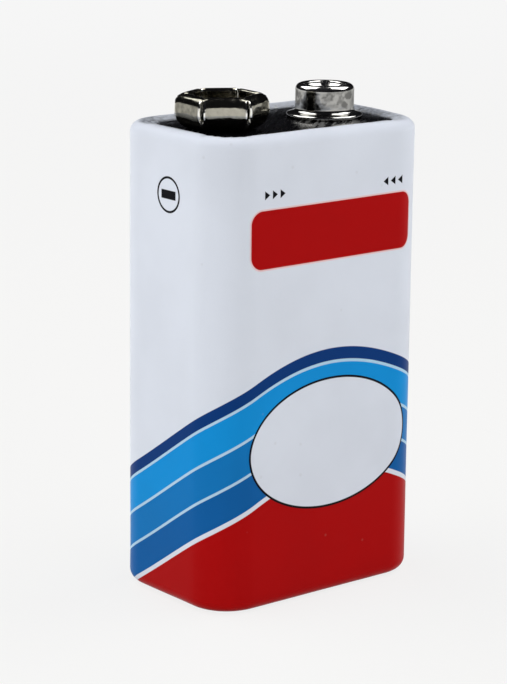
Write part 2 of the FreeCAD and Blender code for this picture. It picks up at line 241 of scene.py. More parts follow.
def raise_bump(shader, height, distance, strength):
    """Feeds a height in shares of distance, given in millimetres, to the shader's normal."""
    relief = {"Height": height, "Distance": distance * metres_per_mm, "Strength": strength}
    feed(shader, {"Normal": read(shader.id_data, "Normal", "Bump", relief)})


# Shared surface effects


def new_effect(name, amounts):
    """A node group that makes a mask of a place and named amounts: its tree, what it is given, its end."""
    tree = bpy.data.node_groups.new(name, "ShaderNodeTree")
    tree.interface.new_socket("Place", in_out="INPUT", socket_type="NodeSocketVector")
    for label, amount in amounts.items():
        socket = tree.interface.new_socket(label, in_out="INPUT", socket_type="NodeSocketFloat")
        socket.default_value = amount
    tree.interface.new_socket("Mask", in_out="OUTPUT", socket_type="NodeSocketFloat")
    start, end = tree.nodes.new("NodeGroupInput"), tree.nodes.new("NodeGroupOutput")
    given = {label: Value(start.outputs[label]) for label in ("Place", *amounts)}
    return tree, given, end


def make_mottle():
    """Cloudy light and dark patches of one size, with finer ones inside them."""
    tree, given, end = new_effect("mottle", {"Size": 1.0, "Detail": 3.0})
    cloud = noise_at(given["Place"], 1 / metres_per_mm / given["Size"], detail=given["Detail"])
    feed(end, {"Mask": ramp(cloud, 0.3, 0.7)})
    return tree


def make_fibre():
    """Short matted fibres, longer along one direction, as in paper and card."""
    tree, given, end = new_effect("fibre", {"Length": 1.0})
    scale = 1 / metres_per_mm / given["Length"]
    masks = []
    for stretch in ((1.0, 6.0, 6.0), (6.0, 1.4, 6.0), (5.0, 6.0, 1.2)):
        strand = noise_at(stretched(given["Place"], stretch), scale, detail=2.0, distortion=0.6)
        masks.append(ramp(strand, 0.52, 0.66))
    feed(end, {"Mask": largest(*masks)})
    return tree


def make_specks():
    """Sparse small round specks of dust or grit."""
    tree, given, end = new_effect("specks", {"Spacing": 1.0, "Share": 0.2})
    scale = 1 / metres_per_mm / given["Spacing"]
    cells = add_node(tree, "TexVoronoi", {"Vector": given["Place"], "Scale": scale}).outputs
    draw = read(tree, "Red", "SeparateColor", {"Color": Value(cells["Color"])})
    dot = ramp(Value(cells["Distance"]), 0.06, 0.14, 1.0, 0.0)
    feed(end, {"Mask": calc("LESS_THAN", draw, given["Share"]) * dot})
    return tree


def mask_of(effect, place, **amounts):
    """The mask that a shared effect gives at a place, with this material's own amounts."""
    inputs = {"Place": place, **{name.capitalize(): amount for name, amount in amounts.items()}}
    return read(place.tree, "Mask", "Group", inputs, node_tree=effect)


mottle = make_mottle()
fibre = make_fibre()
specks = make_specks()


# The printed label, drawn on the unrolled sheet: along from the front's middle, up from the base

label_middle = 0.45
ground_white = (0.69, 0.725, 0.80, 1)
print_red = (0.385, 0.003, 0.0035, 1)
pale_line = (0.78, 0.56, 0.57, 1)
ink_black = (0.004, 0.004, 0.006, 1)
pale_blue = (0.42, 0.62, 0.78, 1)
bright_blue = (0.007, 0.265, 0.655, 1)
mid_blue = (0.007, 0.17, 0.47, 1)
wash_blue = (0.006, 0.105, 0.34, 1)
navy = (0.004, 0.038, 0.175, 1)
bare_tin = (0.40, 0.40, 0.39, 1)
# The grey of the painted shade on the jacket's crimp
painted_shade_grey = (0.15, 0.16, 0.18, 1)
# The bright nickel of rubbed spots and painted highlights
rubbed_nickel = (0.96, 0.95, 0.91, 1)
print_edge = 0.03

# The band, a plain wave once round the can with its crest at the front's middle
band_height, band_swing = 16.0, 8.5

# Its parallel stripes, from its top edge down: how far below the edge each begins, and its ink
band_stripes = (
    (0.0, navy), (1.2, pale_blue), (1.5, bright_blue), (4.7, pale_blue), (5.0, mid_blue),
    (8.2, pale_blue), (8.5, wash_blue), (11.7, ground_white), (12.2, print_red),
)

# The blank panels and the plain marks: middles, half sizes and corners
oval_middle, oval_half = (label_middle, 15.25), (9.78, 6.35)
badge_middle, badge_half, badge_corner = (label_middle, 35.93), (9.88, 2.75), 1.25
sign_middle, sign_ring, sign_bar = (-19.15, 39.55), (1.62, 1.62), (1.08, 0.42)
arrow_rows = ((-7.92, 40.1, 1.0), (9.1, 39.9, -1.0))
thin_line = 0.11


def inside(distance):
    """1 where a signed distance is negative, with an edge as soft as the print's."""
    return ramp(distance, -print_edge, print_edge, 1.0, 0.0)


def panel_distance(along, up, middle, half_size, radius):
    """The signed distance to a rounded rectangle."""
    across = abs(along - middle[0]) - (half_size[0] - radius)
    above = abs(up - middle[1]) - (half_size[1] - radius)
    outer_across, outer_above = largest(across, 0.0), largest(above, 0.0)
    corner = calc("SQRT", outer_across * outer_across + outer_above * outer_above)
    return corner + calc("MINIMUM", largest(across, above), 0.0) - radius


def oval_distance(along, up, middle, half_size):
    """The signed distance to an upright ellipse, good near its edge."""
    lengths = []
    for power in (1, 2):
        across = (along - middle[0]) / half_size[0] ** power
        above = (up - middle[1]) / half_size[1] ** power
        lengths.append(calc("SQRT", across * across + above * above))
    return lengths[0] * (lengths[0] - 1.0) / largest(lengths[1], 0.001)


def arrow_row(along, up, start, height, pointing):
    """A row of three small triangles; pointing is 1 to the right and -1 to the left."""
    pitch, length, half = 0.92, 0.6, 0.42
    run = (along - start) * pointing
    narrow = (length - run % pitch) * (half / length)
    return inside(largest(abs(up - height) - narrow, -run, run - (3 * pitch - 0.1)))


def band_colour(along, up):
    """White ground, and the band's parallel stripes down to a red field."""
    rise = calc("COSINE", (along - label_middle) * (2 * math.pi / perimeter))
    depth = rise * band_swing + band_height - up
    colour = ground_white
    for start, ink in band_stripes:
        colour = blend(inside(start - depth), colour, ink)
    return colour


def label_colour(along, up):
    """The whole print: the striped band on a white ground, blank panels and plain marks."""
    colour = band_colour(along, up)
    oval = oval_distance(along, up, oval_middle, oval_half)
    badge = panel_distance(along, up, badge_middle, badge_half, badge_corner)
    ring = abs(oval_distance(along, up, sign_middle, sign_ring))
    bar = panel_distance(along, up, sign_middle, sign_bar, 0.04)
    layers = [
        (oval, thin_line, ink_black), (oval, -thin_line, ground_white),
        (badge, 0.15, pale_line), (badge, 0.0, print_red),
        (ring, thin_line, ink_black), (bar, 0.0, ink_black),
    ]
    for distance, growth, ink in layers:
        colour = blend(inside(distance - growth), colour, ink)
    for start, height, pointing in arrow_rows:
        colour = blend(arrow_row(along, up, start, height, pointing), colour, ink_black)
    return colour


# Materials


def printed_tinplate():
    """White-ground tinplate with the print under a thin varnish, bare at its cut edges and inside."""
    material, shader, place = new_material("printed tinplate")
    unrolled = read(place.tree, "Vector", "Attribute", attribute_name="unrolled")
    split = add_node(place.tree, "SeparateXYZ", {"Vector": unrolled})
    along, up, bare = [Value(part) for part in split.outputs]
    cloud = mask_of(mottle, place, size=9.0)
    worn = mask_of(mottle, place, size=0.35, detail=4.0)
    grain = mask_of(mottle, place, size=0.12)
    dust = mask_of(specks, place, spacing=1.6, share=0.12)
    shade = cloud * 0.05 + 0.96
    shade = read(place.tree, 0, "CombineColor", {0: shade, 1: shade, 2: shade})
    colour = blend(1.0, label_colour(along, up), shade, "MULTIPLY")
    colour = blend(dust * 0.12, colour, (0.35, 0.34, 0.32, 1))
    # Painted shade: the crimp's top, its pleats and the listed slopes are darkened towards grey.
    stain_and_painted_darkening = ramp(up, 46.0, 46.8) * (cloud * 0.3 + 0.1)
    stain_and_painted_darkening = point_mark(place.tree, "painted_crease_shade") * (worn * 0.6 + 0.3) + stain_and_painted_darkening
    colour = blend(stain_and_painted_darkening, colour, painted_shade_grey)
    at_fold = largest(ramp(up, 0.2, -0.5), ramp(up, 45.6, 46.6))
    scuffed = ramp(worn * at_fold, 0.78, 0.95) * 0.5
    metal = largest(ramp(bare, 0.4, 0.6), scuffed)
    feed(shader, {
        "Base Color": blend(metal, colour, bare_tin),
        "Metallic": metal * 0.9,
        "Roughness": metal * 0.2 + ramp(cloud, 0.0, 1.0, 0.30, 0.38),
        "Specular IOR Level": 0.04,
    })
    raise_bump(shader, worn * 0.6 + grain, 0.004, 0.5)
    return material


def nickel_plate(name, tint, stain, waviness):
    """Bright nickel with the faint waviness of a drawn sheet, dull stains, darkening where a piece marks
    it, and edges brightened by rubbing and painted highlight.
    """
    material, shader, place = new_material(name)
    ripple = mask_of(mottle, place, size=1.1, detail=2.0)
    tarnish = mask_of(mottle, place, size=0.5, detail=5.0)
    patches = mask_of(mottle, place, size=0.75, detail=1.5)
    scratches = mask_of(mottle, stretched(place, (1.0, 1.0, 0.12)), size=0.05, detail=2.0)
    stain_and_painted_darkening = tarnish * 0.12 + ramp(patches, 0.45, 0.95) * stain
    # The marked darkening: painted dark reflections on the stud, and a set darkening of each socket side.
    stain_and_painted_darkening = point_mark(place.tree, "stained") * (tarnish * 0.4 + 0.6) + stain_and_painted_darkening
    colour = blend(stain_and_painted_darkening, tint, toned(tint, 0.4))
    # Where a piece marks it, the nickel turns brighter: partly real rubbing, partly painted highlight.
    feed(shader, {
        "Base Color": blend(point_mark(place.tree, "rubbed"), colour, rubbed_nickel),
        "Metallic": 1.0,
        "Specular Tint": (0.5, 0.5, 0.5, 1),
        "Roughness": ramp(tarnish, 0.1, 0.9, 0.07, 0.17),
    })
    raise_bump(shader, scratches * 0.012 + ripple, waviness, 0.8)
    return material


def black_lacquered_board():
    """Black board with a pressed grain and fine dust, rubbed glossy in front of the stud, with a painted
    reflection there.
    """
    material, shader, place = new_material("black lacquered board")
    cloud = mask_of(mottle, place, size=2.2, detail=3.0)
    grain = mask_of(mottle, place, size=0.16)
    dust = mask_of(specks, place, spacing=0.45, share=0.3)
    strokes = {"Vector": place, "Rotation": (0, 0, 0.7), "Scale": (8.0, 1.0, 1.0)}
    slanted = read(place.tree, "Vector", "Mapping", strokes, vector_type="TEXTURE")
    rub_and_reflection_streaks = mask_of(mottle, slanted, size=0.5, detail=3.0)
    # Painted reflection: in front of the stud the board turns grey in streaks, under a real glossy coat.
    centre = Vector((stud_x - 2.2, -3.7, board_top)) * metres_per_mm
    away = read(place.tree, "Value", "VectorMath", {0: place, 1: centre}, operation="DISTANCE")
    rubbed = ramp(away * (1 / metres_per_mm), 1.6, 4.2, 1.0, 0.0)
    colour = blend(cloud * 0.4, (0.002, 0.002, 0.0025, 1), (0.005, 0.005, 0.006, 1))
    colour = blend(dust * 0.16, colour, (0.4, 0.39, 0.37, 1))
    feed(shader, {
        "Base Color": blend(rubbed * ramp(rub_and_reflection_streaks, 0.35, 0.95) * 0.5, colour, (0.36, 0.36, 0.35, 1)),
        "Roughness": ramp(rub_and_reflection_streaks, 0.2, 0.9, 0.16, 0.34),
        "Specular IOR Level": 0.02,
        "Coat Weight": rubbed * 0.5,
        "Coat Roughness": 0.12,
    })
    raise_bump(shader, grain * 0.5 + cloud, 0.003, 0.15)
    return material


def plain_card(name, tint):
    """Uncoated card: matted fibres over soft grey patches."""
    material, shader, place = new_material(name)
    strands = mask_of(fibre, place, length=0.9)
    cloud = mask_of(mottle, place, size=3.0)
    flecks = mask_of(specks, place, spacing=0.5, share=0.15)
    colour = blend(strands * 0.5, blend(cloud, toned(tint, 0.8), tint), toned(tint, 1.25))
    feed(shader, {
        "Base Color": blend(flecks * 0.5, colour, toned(tint, 0.8)),
        "Roughness": ramp(strands, 0.0, 1.0, 0.78, 0.92),
    })
    raise_bump(shader, cloud * 0.3 + strands, 0.02, 0.7)
    return material


def tinned_strip():
    """Dull tinned sheet with rolling lines and small stains."""
    material, shader, place = new_material("tinned strip")
    lines = mask_of(mottle, stretched(place, (0.05, 1.0, 0.05)), size=0.12, detail=3.0)
    stain = mask_of(mottle, place, size=1.8, detail=4.0)
    feed(shader, {
        "Base Color": blend(stain * 0.5, (0.56, 0.56, 0.54, 1), (0.38, 0.37, 0.35, 1)),
        "Metallic": 1.0,
        "Roughness": ramp(lines, 0.0, 1.0, 0.32, 0.5),
    })
    raise_bump(shader, lines, 0.006, 0.6)
    return material


def rolled_zinc():
    """Grey zinc with blotches where the paste has bitten into it."""
    material, shader, place = new_material("rolled zinc")
    blotch = mask_of(mottle, place, size=2.6, detail=5.0)
    crystal = read(place.tree, "Color", "TexVoronoi", {"Vector": place, "Scale": 1.2 / metres_per_mm})
    facets = read(place.tree, "Red", "SeparateColor", {"Color": crystal})
    colour = blend(facets * 0.35, (0.36, 0.38, 0.41, 1), (0.50, 0.52, 0.55, 1))
    feed(shader, {
        "Base Color": blend(blotch * 0.4, colour, (0.22, 0.23, 0.24, 1)),
        "Metallic": 0.85,
        "Roughness": ramp(blotch, 0.0, 1.0, 0.38, 0.62),
    })
    raise_bump(shader, blotch, 0.01, 0.6)
    return material


def pressed_mix():
    """Black powder pressed into a cake: grains, pits and a graphite sheen."""
    material, shader, place = new_material("pressed black mix")
    grains = mask_of(specks, place, spacing=0.22, share=0.5)
    lumps = mask_of(mottle, place, size=0.5, detail=6.0)
    feed(shader, {
        "Base Color": blend(grains * 0.5, (0.012, 0.012, 0.012, 1), (0.09, 0.09, 0.095, 1)),
        "Roughness": ramp(lumps, 0.0, 1.0, 0.55, 0.85),
    })
    raise_bump(shader, grains * 0.4 + lumps, 0.06, 0.8)
    return material


def soft_film(name, tint, gloss, wrinkle_size):
    """Thin plastic or waxed film with wrinkles and cloudy thickness."""
    material, shader, place = new_material(name)
    folds = mask_of(mottle, place, size=wrinkle_size, detail=2.0)
    cloud = mask_of(mottle, place, size=4.0)
    feed(shader, {
        "Base Color": blend(cloud, tint, toned(tint, 0.82)),
        "Roughness": ramp(folds, 0.0, 1.0, gloss, gloss + 0.15),
    })
    raise_bump(shader, folds, 0.04, 0.6)
    return material


# The jacket's mesh


def plan_point(along, depth):
    """A point of the jacket's plan, depth in from the wall, by its place along the sheet."""
    run = (along + half_flat_x) % perimeter
    for side in range(4):
        turn = math.pi / 2 * side
        forward = Vector((math.cos(turn), math.sin(turn)))
        outward = Vector((math.sin(turn), -math.cos(turn)))
        half_flat = (half_flat_x, half_flat_y)[side % 2]
        reach = (body_width, body_length)[side % 2] / 2
        if run <= 2 * half_flat:
            return outward * (reach - depth) + forward * (run - half_flat)
        run -= 2 * half_flat
        if run <= corner_run:
            swing = run / corner_radius
            way = outward * math.cos(swing) + forward * math.sin(swing)
            middle = outward * (reach - corner_radius) + forward * half_flat
            return middle + way * (corner_radius - depth)
        run -= corner_run
    return plan_point(along - perimeter, depth)


def sheet_section():
    """The jacket's sheet in section, once round: (depth, height, up along the sheet, bare)."""
    top_centre = (crimp_radius, body_height - crimp_radius)
    base_centre = (crimp_radius, crimp_radius)
    inner = crimp_radius - sheet
    wall = body_height - 2 * crimp_radius
    seat = board_top + 0.005
    tuck = math.degrees(math.asin((seat - top_centre[1]) / inner))
    wall_steps, slope_steps, slope_reach = 34, 12, crimp_reach - 0.05 - crimp_radius
    path = [(depth, 0.0) for depth in (base_crimp_reach, 2.0, 1.55)]
    path += arc_points(base_centre, crimp_radius, 270, 180, 10)
    path += [(0.0, crimp_radius + wall * step / wall_steps) for step in range(1, wall_steps)]
    path += arc_points(top_centre, crimp_radius, 180, 90, 14)
    for across, up in arc_points((0, 0), 1.0, 90, 0, slope_steps)[1:]:
        path.append((crimp_radius + slope_reach * across, seat + (body_height - seat) * up))
    printed = len(path)
    path += arc_points(top_centre, inner, tuck, 180, 8)
    path += [(sheet, crimp_radius + wall * share) for share in (0.66, 0.33)]
    path += arc_points(base_centre, inner, 180, 270, 7)
    path += arc_points((base_crimp_reach, sheet / 2), sheet / 2, 90, -90, 5)[:-1]
    section = []
    up = -(base_crimp_reach - crimp_radius) - crimp_radius * (math.pi / 2 - 1)
    for number, (depth, height) in enumerate(path):
        if 0 < number < printed:
            up += math.dist(path[number], path[number - 1])
        section.append((depth, height, up, 0.0 if number < printed else 1.0))
    return section


# Gathers in the upper crimp's inner slope near the corners: place along the sheet, depth, half width
pleats = [
    (-9.4, 0.05, 0.6), (-10.9, 0.04, 0.5), (-12.3, 0.07, 0.6), (-13.7, 0.04, 0.5), (-15.1, 0.14, 0.45),
    (-24.2, 0.14, 0.5), (-26.0, 0.24, 0.9), (-28.1, 0.16, 0.5), (-29.6, 0.12, 0.5), (-30.9, 0.06, 0.5),
    (9.3, 0.06, 0.6), (11.0, 0.10, 0.45), (12.6, 0.08, 0.5), (14.2, 0.12, 0.4),
    (24.6, 0.13, 0.5), (26.0, 0.20, 0.5), (27.6, 0.15, 0.4), (29.3, 0.12, 0.55),
]

# Where the crest of the crimp lies lower, given the same way
sags = [(-15.2, 0.09, 0.45), (4.0, 0.05, 4.0), (12.5, 0.17, 4.5)]

# Where the crimp was rolled further in, given the same way
long_reaches = [
    (-46.5, 0.4, 6.0), (-36.0, 0.3, 6.0), (-27.5, 0.6, 2.6), (-19.0, 0.15, 4.0), (17.0, 0.3, 6.0),
]

# Where the crimp's slope is painted in shade, given the same way
painted_shade_places = [(-27.5, 0.85, 4.0), (-36.0, 0.2, 5.0), (19.0, 0.75, 7.0), (27.0, 0.5, 4.0)]


def swells(along, places):
    """The sum, at a place along the sheet, of smooth swells given as (place, height, half width)."""
    total = 0.0
    for place, amount, width in places:
        offset = (along - place + perimeter / 2) % perimeter - perimeter / 2
        total += amount * math.exp(-((offset / width) ** 2))
    return total


def unevenness(along, height, size):
    """A fixed random value, about -1 to 1, that changes smoothly over the sheet."""
    return noise.noise(Vector((along / size, height / size, 0.37)))


def jacket_point(along, depth, height):
    """A point of the sheet, with the crimp's sags and pleats and the slight hollows of the walls."""
    rim_dent, raggedness, wall_hollow, foot_dent = 0.04, 0.2, 0.035, 0.03
    over_top = smooth_step(body_height - 2.3, body_height, height + depth * 0.6)
    off_lip = over_top * (1 - smooth_step(1.45, crimp_reach, depth))
    on_slope = over_top * smooth_step(0.8, 1.5, depth) * (1 - smooth_step(1.75, crimp_reach, depth))
    sink = off_lip * (swells(along, sags) + rim_dent * (1 + unevenness(along, 0, 3.0)))
    sink += on_slope * swells(along, pleats)
    longer = swells(along, long_reaches) + raggedness * unevenness(along, 9, 2.2)
    reach = depth + smooth_step(1.2, crimp_reach, depth) * over_top * longer
    hollow = wall_hollow * (1 + unevenness(along, height, 11.0)) * smooth_step(0.0, 4.0, height)
    dent = foot_dent * (1 + unevenness(along, 3, 2.0)) * smooth_step(crimp_radius * 1.3, 0.0, height)
    point = plan_point(along, reach + hollow * (1 - over_top) + dent)
    return (point.x, point.y, height - sink)


def crease_shade_share(along, depth, height):
    """How much painted shade darkens the sheet, 0 to 1: at the pleats and slopes of the upper crimp."""
    deepest_pleat = 0.4
    on_lip = smooth_step(0.6, 1.15, depth) * smooth_step(board_top - 0.5, board_top, height)
    return on_lip * min(1.0, swells(along, pleats) / deepest_pleat + swells(along, painted_shade_places))


def sheet_columns():
    """Places along the sheet from one edge of the seam round to the other, closer at the corners."""
    flat_step, corner_step = 0.42, 0.17
    start, end = seam_place - perimeter + seam_gap / 2, seam_place - seam_gap / 2
    columns = [start]
    while columns[-1] < end:
        past_flat = (columns[-1] + half_flat_x) % (perimeter / 2) - 2 * half_flat_x
        on_flat = past_flat < 0 or corner_run < past_flat < corner_run + 2 * half_flat_y
        columns.append(columns[-1] + (flat_step if on_flat else corner_step))
    return columns[:-1] + [end]


def lap_strip(first_point):
    """The end of the sheet that lies behind the seam, as a thin closed block."""
    half, low, high, clearance = seam_lap / 2, 1.5, body_height - 2.2, 0.05
    front, back = body_length / 2 - sheet - clearance, body_length / 2 - 2 * sheet
    points = []
    for x in (back, front):
        points += [(x, -half, low), (x, half, low), (x, half, high), (x, -half, high)]
    quads = [(0, 3, 2, 1), (4, 5, 6, 7), (0, 1, 5, 4), (1, 2, 6, 5), (2, 3, 7, 6), (3, 0, 4, 7)]
    return points, [tuple(first_point + corner for corner in quad) for quad in quads]


def make_jacket(material):
    """The printed sheet, once round the section at every place along it, with its lap."""
    section, columns = sheet_section(), sheet_columns()
    points, unrolled, crease_shades, faces = [], [], [], []
    for along in columns:
        for depth, height, up, bare in section:
            points.append(jacket_point(along, depth, height))
            unrolled.append((along, up, bare))
            crease_shades.append(crease_shade_share(along, depth, height))
    rings = len(section)
    for column in range(len(columns) - 1):
        for ring in range(rings):
            here, above = column * rings + ring, column * rings + (ring + 1) % rings
            faces.append((here, here + rings, above + rings, above))
    faces += seam_ends(section, len(columns))
    lap_points, lap_faces = lap_strip(len(points))
    points += lap_points
    unrolled += [(0.0, 0.0, 1.0)] * len(lap_points)
    crease_shades += [0.0] * len(lap_points)
    jacket = add_piece("jacket_sheet", points, faces + lap_faces, material, "jacket")
    attribute = jacket.data.attributes.new("unrolled", "FLOAT_VECTOR", "POINT")
    attribute.data.foreach_set("vector", [value for place in unrolled for value in place])
    mark_points(jacket, "painted_crease_shade", crease_shades)
    jacket.data.set_sharp_from_angle(angle=math.radians(50))


def seam_ends(section, columns):
    """Quads that close the sheet's two cut edges, from each outer ring to the inner ring beside it."""
    outer = [number for number, row in enumerate(section) if row[3] == 0.0]
    inner = [number for number, row in enumerate(section) if row[3] == 1.0]
    pairs = []
    for number in outer:
        nearest = min(inner, key=lambda other: math.dist(section[number][:2], section[other][:2]))
        pairs.append((number, nearest))
    faces = []
    for first in (0, (columns - 1) * len(section)):
        for (low, low_in), (high, high_in) in zip(pairs, pairs[1:]):
            corners = [first + low, first + high, first + high_in]
            if low_in != high_in:
                corners.append(first + low_in)
            faces.append(tuple(corners if first else reversed(corners)))
    return faces


# The turned terminals

# Painted dark reflections round the stud's wall: turn and half width in degrees, top and bottom in
# millimetres, depth
stud_dark_reflections = (
    (-125, 11, 47.9, 46.9, 0.75),
    (-112, 14, 46.75, 46.3, 0.5),
    (-140, 7, 47.2, 46.4, 0.3),
    (-76, 13, 48.0, 47.0, 0.7),
    (-88, 10, 46.9, 46.3, 0.6),
    (-62, 12, 47.4, 46.2, 0.6),
    (-191, 9, 47.8, 47.0, 1.0),
    (-196, 8, 46.9, 46.3, 1.0),
)

# The dish in the stud's top, from the middle out: radius, rise over the dish's floor
stud_dish = (
    (0.0, -0.06), (0.5, -0.05), (1.0, -0.02), (1.35, 0.03), (1.57, 0.11), (1.72, 0.21), (1.86, 0.35),
)


def dark_reflection_depth(dark_reflections, turn, height):
    """How dark a turned piece's painted reflections are at a turn and a height."""
    depth = 0.0
    for middle, half_width, top, bottom, strength in dark_reflections:
        off = abs((turn - middle + 180) % 360 - 180) / half_width
        off = math.hypot(off, abs(height - (top + bottom) / 2) / ((top - bottom) / 2))
        depth = max(depth, strength * (1 - smooth_step(0.5, 1.3, off)))
    return depth


def rub_and_highlight_share(height):
    """How bright the stud is made at a height, partly by rubbing and partly as painted highlight: on its
    bead, and on its flange.
    """
    on_bead = smooth_step(terminal_top - 0.75, terminal_top - 0.4, height)
    on_flange = smooth_step(board_top + 0.8, board_top + 0.5, height)
    return 0.7 * on_bead + 0.5 * on_flange


def make_turned(name, outline, x, material, replaced, dark_reflections=()):
    """A closed turned piece from an outline of (radius, height), wobbling very slightly."""
    count, wobble, wobble_turn = 128, 0.0015, 0.6
    points, faces, spots = [], [], []
    for number in range(count):
        turn = 2 * math.pi * number / count
        for radius, height in outline:
            reach = radius * (1 + wobble * math.cos(2 * turn + wobble_turn))
            points.append((x + reach * math.cos(turn), reach * math.sin(turn), height))
            spots.append((math.degrees(turn), height))
    rows = len(outline)
    for number in range(count):
        here, there = number * rows, (number + 1) % count * rows
        for row in range(rows):
            up = (row + 1) % rows
            faces.append((here + row, there + row, there + up, here + up))
    piece = add_piece(name, points, faces, material, replaced)
    settle(piece.modifiers.new("close the axis", "WELD"), merge_threshold=1e-7)
    piece.data.set_sharp_from_angle(angle=math.radians(40))
    if dark_reflections:
        mark_points(piece, "stained", [dark_reflection_depth(dark_reflections, turn, height) for turn, height in spots])
        mark_points(piece, "rubbed", [rub_and_highlight_share(height) for turn, height in spots])


def shank_outline(top):
    """The flared shank under a terminal, down its outside and up its bore."""
    flare, flare_radius = stud_low + terminal_sheet, 2.3
    bore = shank_radius - terminal_sheet
    outline = [(shank_radius, top), (shank_radius, flare)]
    outline += [(flare_radius, flare), (flare_radius, stud_low)]
    outline += arc_points((shank_radius, flare), terminal_sheet, 270, 180, 4)
    return outline + [(bore, top)]


def make_stud(material):
    """The stud: a dished top in a rolled bead, a straight wall, a flange and the shank."""
    wall, rim = grip_radius - 0.01, 3.7
    bead, bead_inside, root, rim_round = 0.56, 0.33, 0.42, 0.22
    top = terminal_top - 0.12
    dish = top - 0.62
    wall_top, wall_foot = top - bead, board_top + 0.52 + root
    outline = [(radius, dish + rise) for radius, rise in stud_dish]
    outline += arc_points((2.13, top - 0.01 - bead_inside), bead_inside, 142, 92, 6)
    outline += arc_points((grip_radius - bead, wall_top), bead, 90, 0, 12)
    outline += [(wall, wall_top + (wall_foot - wall_top) * step / 10) for step in range(1, 10)]
    outline += arc_points((wall + root, wall_foot), root, 180, 254, 8)
    outline += arc_points((rim - rim_round, board_top + rim_round), rim_round, 74, -90, 12)
    outline += shank_outline(board_top)
    inner_wall, floor = grip_radius - 0.35, board_top + terminal_sheet
    outline += [(1.2, floor), (inner_wall, floor), (inner_wall, dish - 0.35), (0.0, dish - 0.4)]
    make_turned("stud_shell", outline, stud_x, material, "positive_stud", stud_dark_reflections)


def make_rivet(material):
    """The rivet's low domed head in the socket, and its shank."""
    seat, bore_top = board_top + terminal_sheet, board_top - 0.6
    outline = [(0.0, seat + 0.36), (0.35, seat + 0.38), (0.8, seat + 0.43), (1.25, seat + 0.42)]
    outline += arc_points((1.72, seat + 0.02), 0.38, 80, 0, 6)
    outline += [(2.1, seat), (shank_radius, seat)] + shank_outline(bore_top) + [(0.0, bore_top)]
    make_turned("rivet_shell", outline, socket_x, material, "socket_rivet")


# The socket's six petals

# Slot and wall sizes, and for each side how much darker it is made and how far it leans out
slot_half = 0.25
slot_low = board_top + 0.9
slot_high = terminal_top - 0.2
fold_gap = 0.035
shoulder_round = 0.85
shoulder_height = 0.98
foot_round = 1.5
foot_height = 1.9
wall_round = 0.5
half_side = math.pi / petal_count
petal_darkening = (0.1, 0.2, 0.15, 0.7, 0.0, 0.3)
petal_leans = (0.0, 0.02, -0.015, 0.01, 0.03, -0.01)
leaf_length = 1.9
leaf_curl = 0.08
petal_sag = 0.02
petal_tilt = 30
outside_leaf = 3.2

# Places across a flat and round its corner, closer at the flat's ends
half_shares = (0.28, 0.55, 0.74, 0.85, 0.91, 0.96, 1.0)
flat_shares = [-share for share in reversed(half_shares)] + [0.0] + list(half_shares)
all_shares = flat_shares + [1 + step / 8 for step in range(1, 8)]


def side_ways(side):
    """The way out of one of the six sides, and the way along it."""
    turn = side * 2 * half_side
    return Vector((math.cos(turn), math.sin(turn))), Vector((-math.sin(turn), math.cos(turn)))


def hexagon_point(side, share, flat, corner):
    """A point of a rounded hexagon: share runs from -1 to 1 along a flat, and on to 2 round its corner."""
    outward, forward = side_ways(side)
    reach = (flat - corner) * math.tan(half_side)
    if share <= 1:
        return outward * flat + forward * reach * share
    swing = (share - 1) * 2 * half_side
    middle = outward * (flat - corner) + forward * reach
    return middle + (outward * math.cos(swing) + forward * math.sin(swing)) * corner


def wall_out(height):
    """How far the socket's wall stands out from its axis at a height, over its rounded foot."""
    below = 1 - min(max(0.0, height - board_top) / foot_height, 1.0)
    return socket_flat - foot_round * (1 - math.sqrt(1 - below ** 2))


def petal_path():
    """A petal's outer face, up from the slot's foot, over the fold and down: (out, height, gap)."""
    start, shoulder = slot_low + slot_half, terminal_top - shoulder_height
    heights = [start + (shoulder - start) * step / 10 for step in range(1, 10)]
    path = [(wall_out(height), height) for height in heights]
    ridge = socket_flat - shoulder_round
    quarter = arc_points((0, 0), 1.0, 0, 90, 12)
    path += [(ridge + out * shoulder_round, shoulder + up * shoulder_height) for out, up in quarter]
    slotted = len(path) - 1
    lip_round = ridge - grip_radius
    path += arc_points((ridge, terminal_top - lip_round), lip_round, 90, 180, 7)[1:]
    leaf_start, leaf_end = terminal_top - lip_round, terminal_top - leaf_length
    waist, lip_flare = leaf_end + leaf_length * 0.35, 0.22
    path += [(grip_radius, leaf_start + (waist - leaf_start) * share) for share in (0.35, 0.7, 1.0)]
    path += [(grip_radius + lip_flare / 2, (waist + leaf_end) / 2), (grip_radius + lip_flare, leaf_end)]
    rows = []
    for number, (out, height) in enumerate(path):
        gap = fold_gap
        if number < slotted:
            up = max(0.0, height - (slot_high - slot_half)) / slot_half
            gap = max(fold_gap, slot_half * math.sqrt(max(0.0, 1 - min(up, 1.0) ** 2)))
        rows.append((out, height, gap / math.cos(half_side)))
    return rows


def cup_rows():
    """Rows of the cup from the rivet's hole out and up: (flat distance, corner, height, roundness)."""
    rows = [(1.55, 1.5, board_top, 1.0), (1.9, 1.5, board_top, 0.7), (2.2, 1.0, board_top, 0.3)]
    for step in range(9):
        height = board_top + (slot_low - 0.04 - board_top) * (step / 8) ** 2
        rows.append((wall_out(height), wall_round, height, 0.0))
    return rows


class Skin:
    """The socket's outer face as it grows: its points, with how much each is brightened by rubbing and
    painted highlight and how much darker each is made, and faces.
    """

    def __init__(self):
        self.points, self.rubbed, self.stained, self.faces = [], [], [], []

    def add(self, spot, height, rubbed, side):
        self.points.append((spot.x, spot.y, height))
        self.rubbed.append(rubbed)
        self.stained.append(petal_darkening[side])
        return len(self.points) - 1

    def join(self, low_row, high_row):
        """Quads between two rows of points."""
        for low, low_next, high, high_next in zip(low_row, low_row[1:], high_row, high_row[1:]):
            self.faces.append((low, low_next, high_next, high))


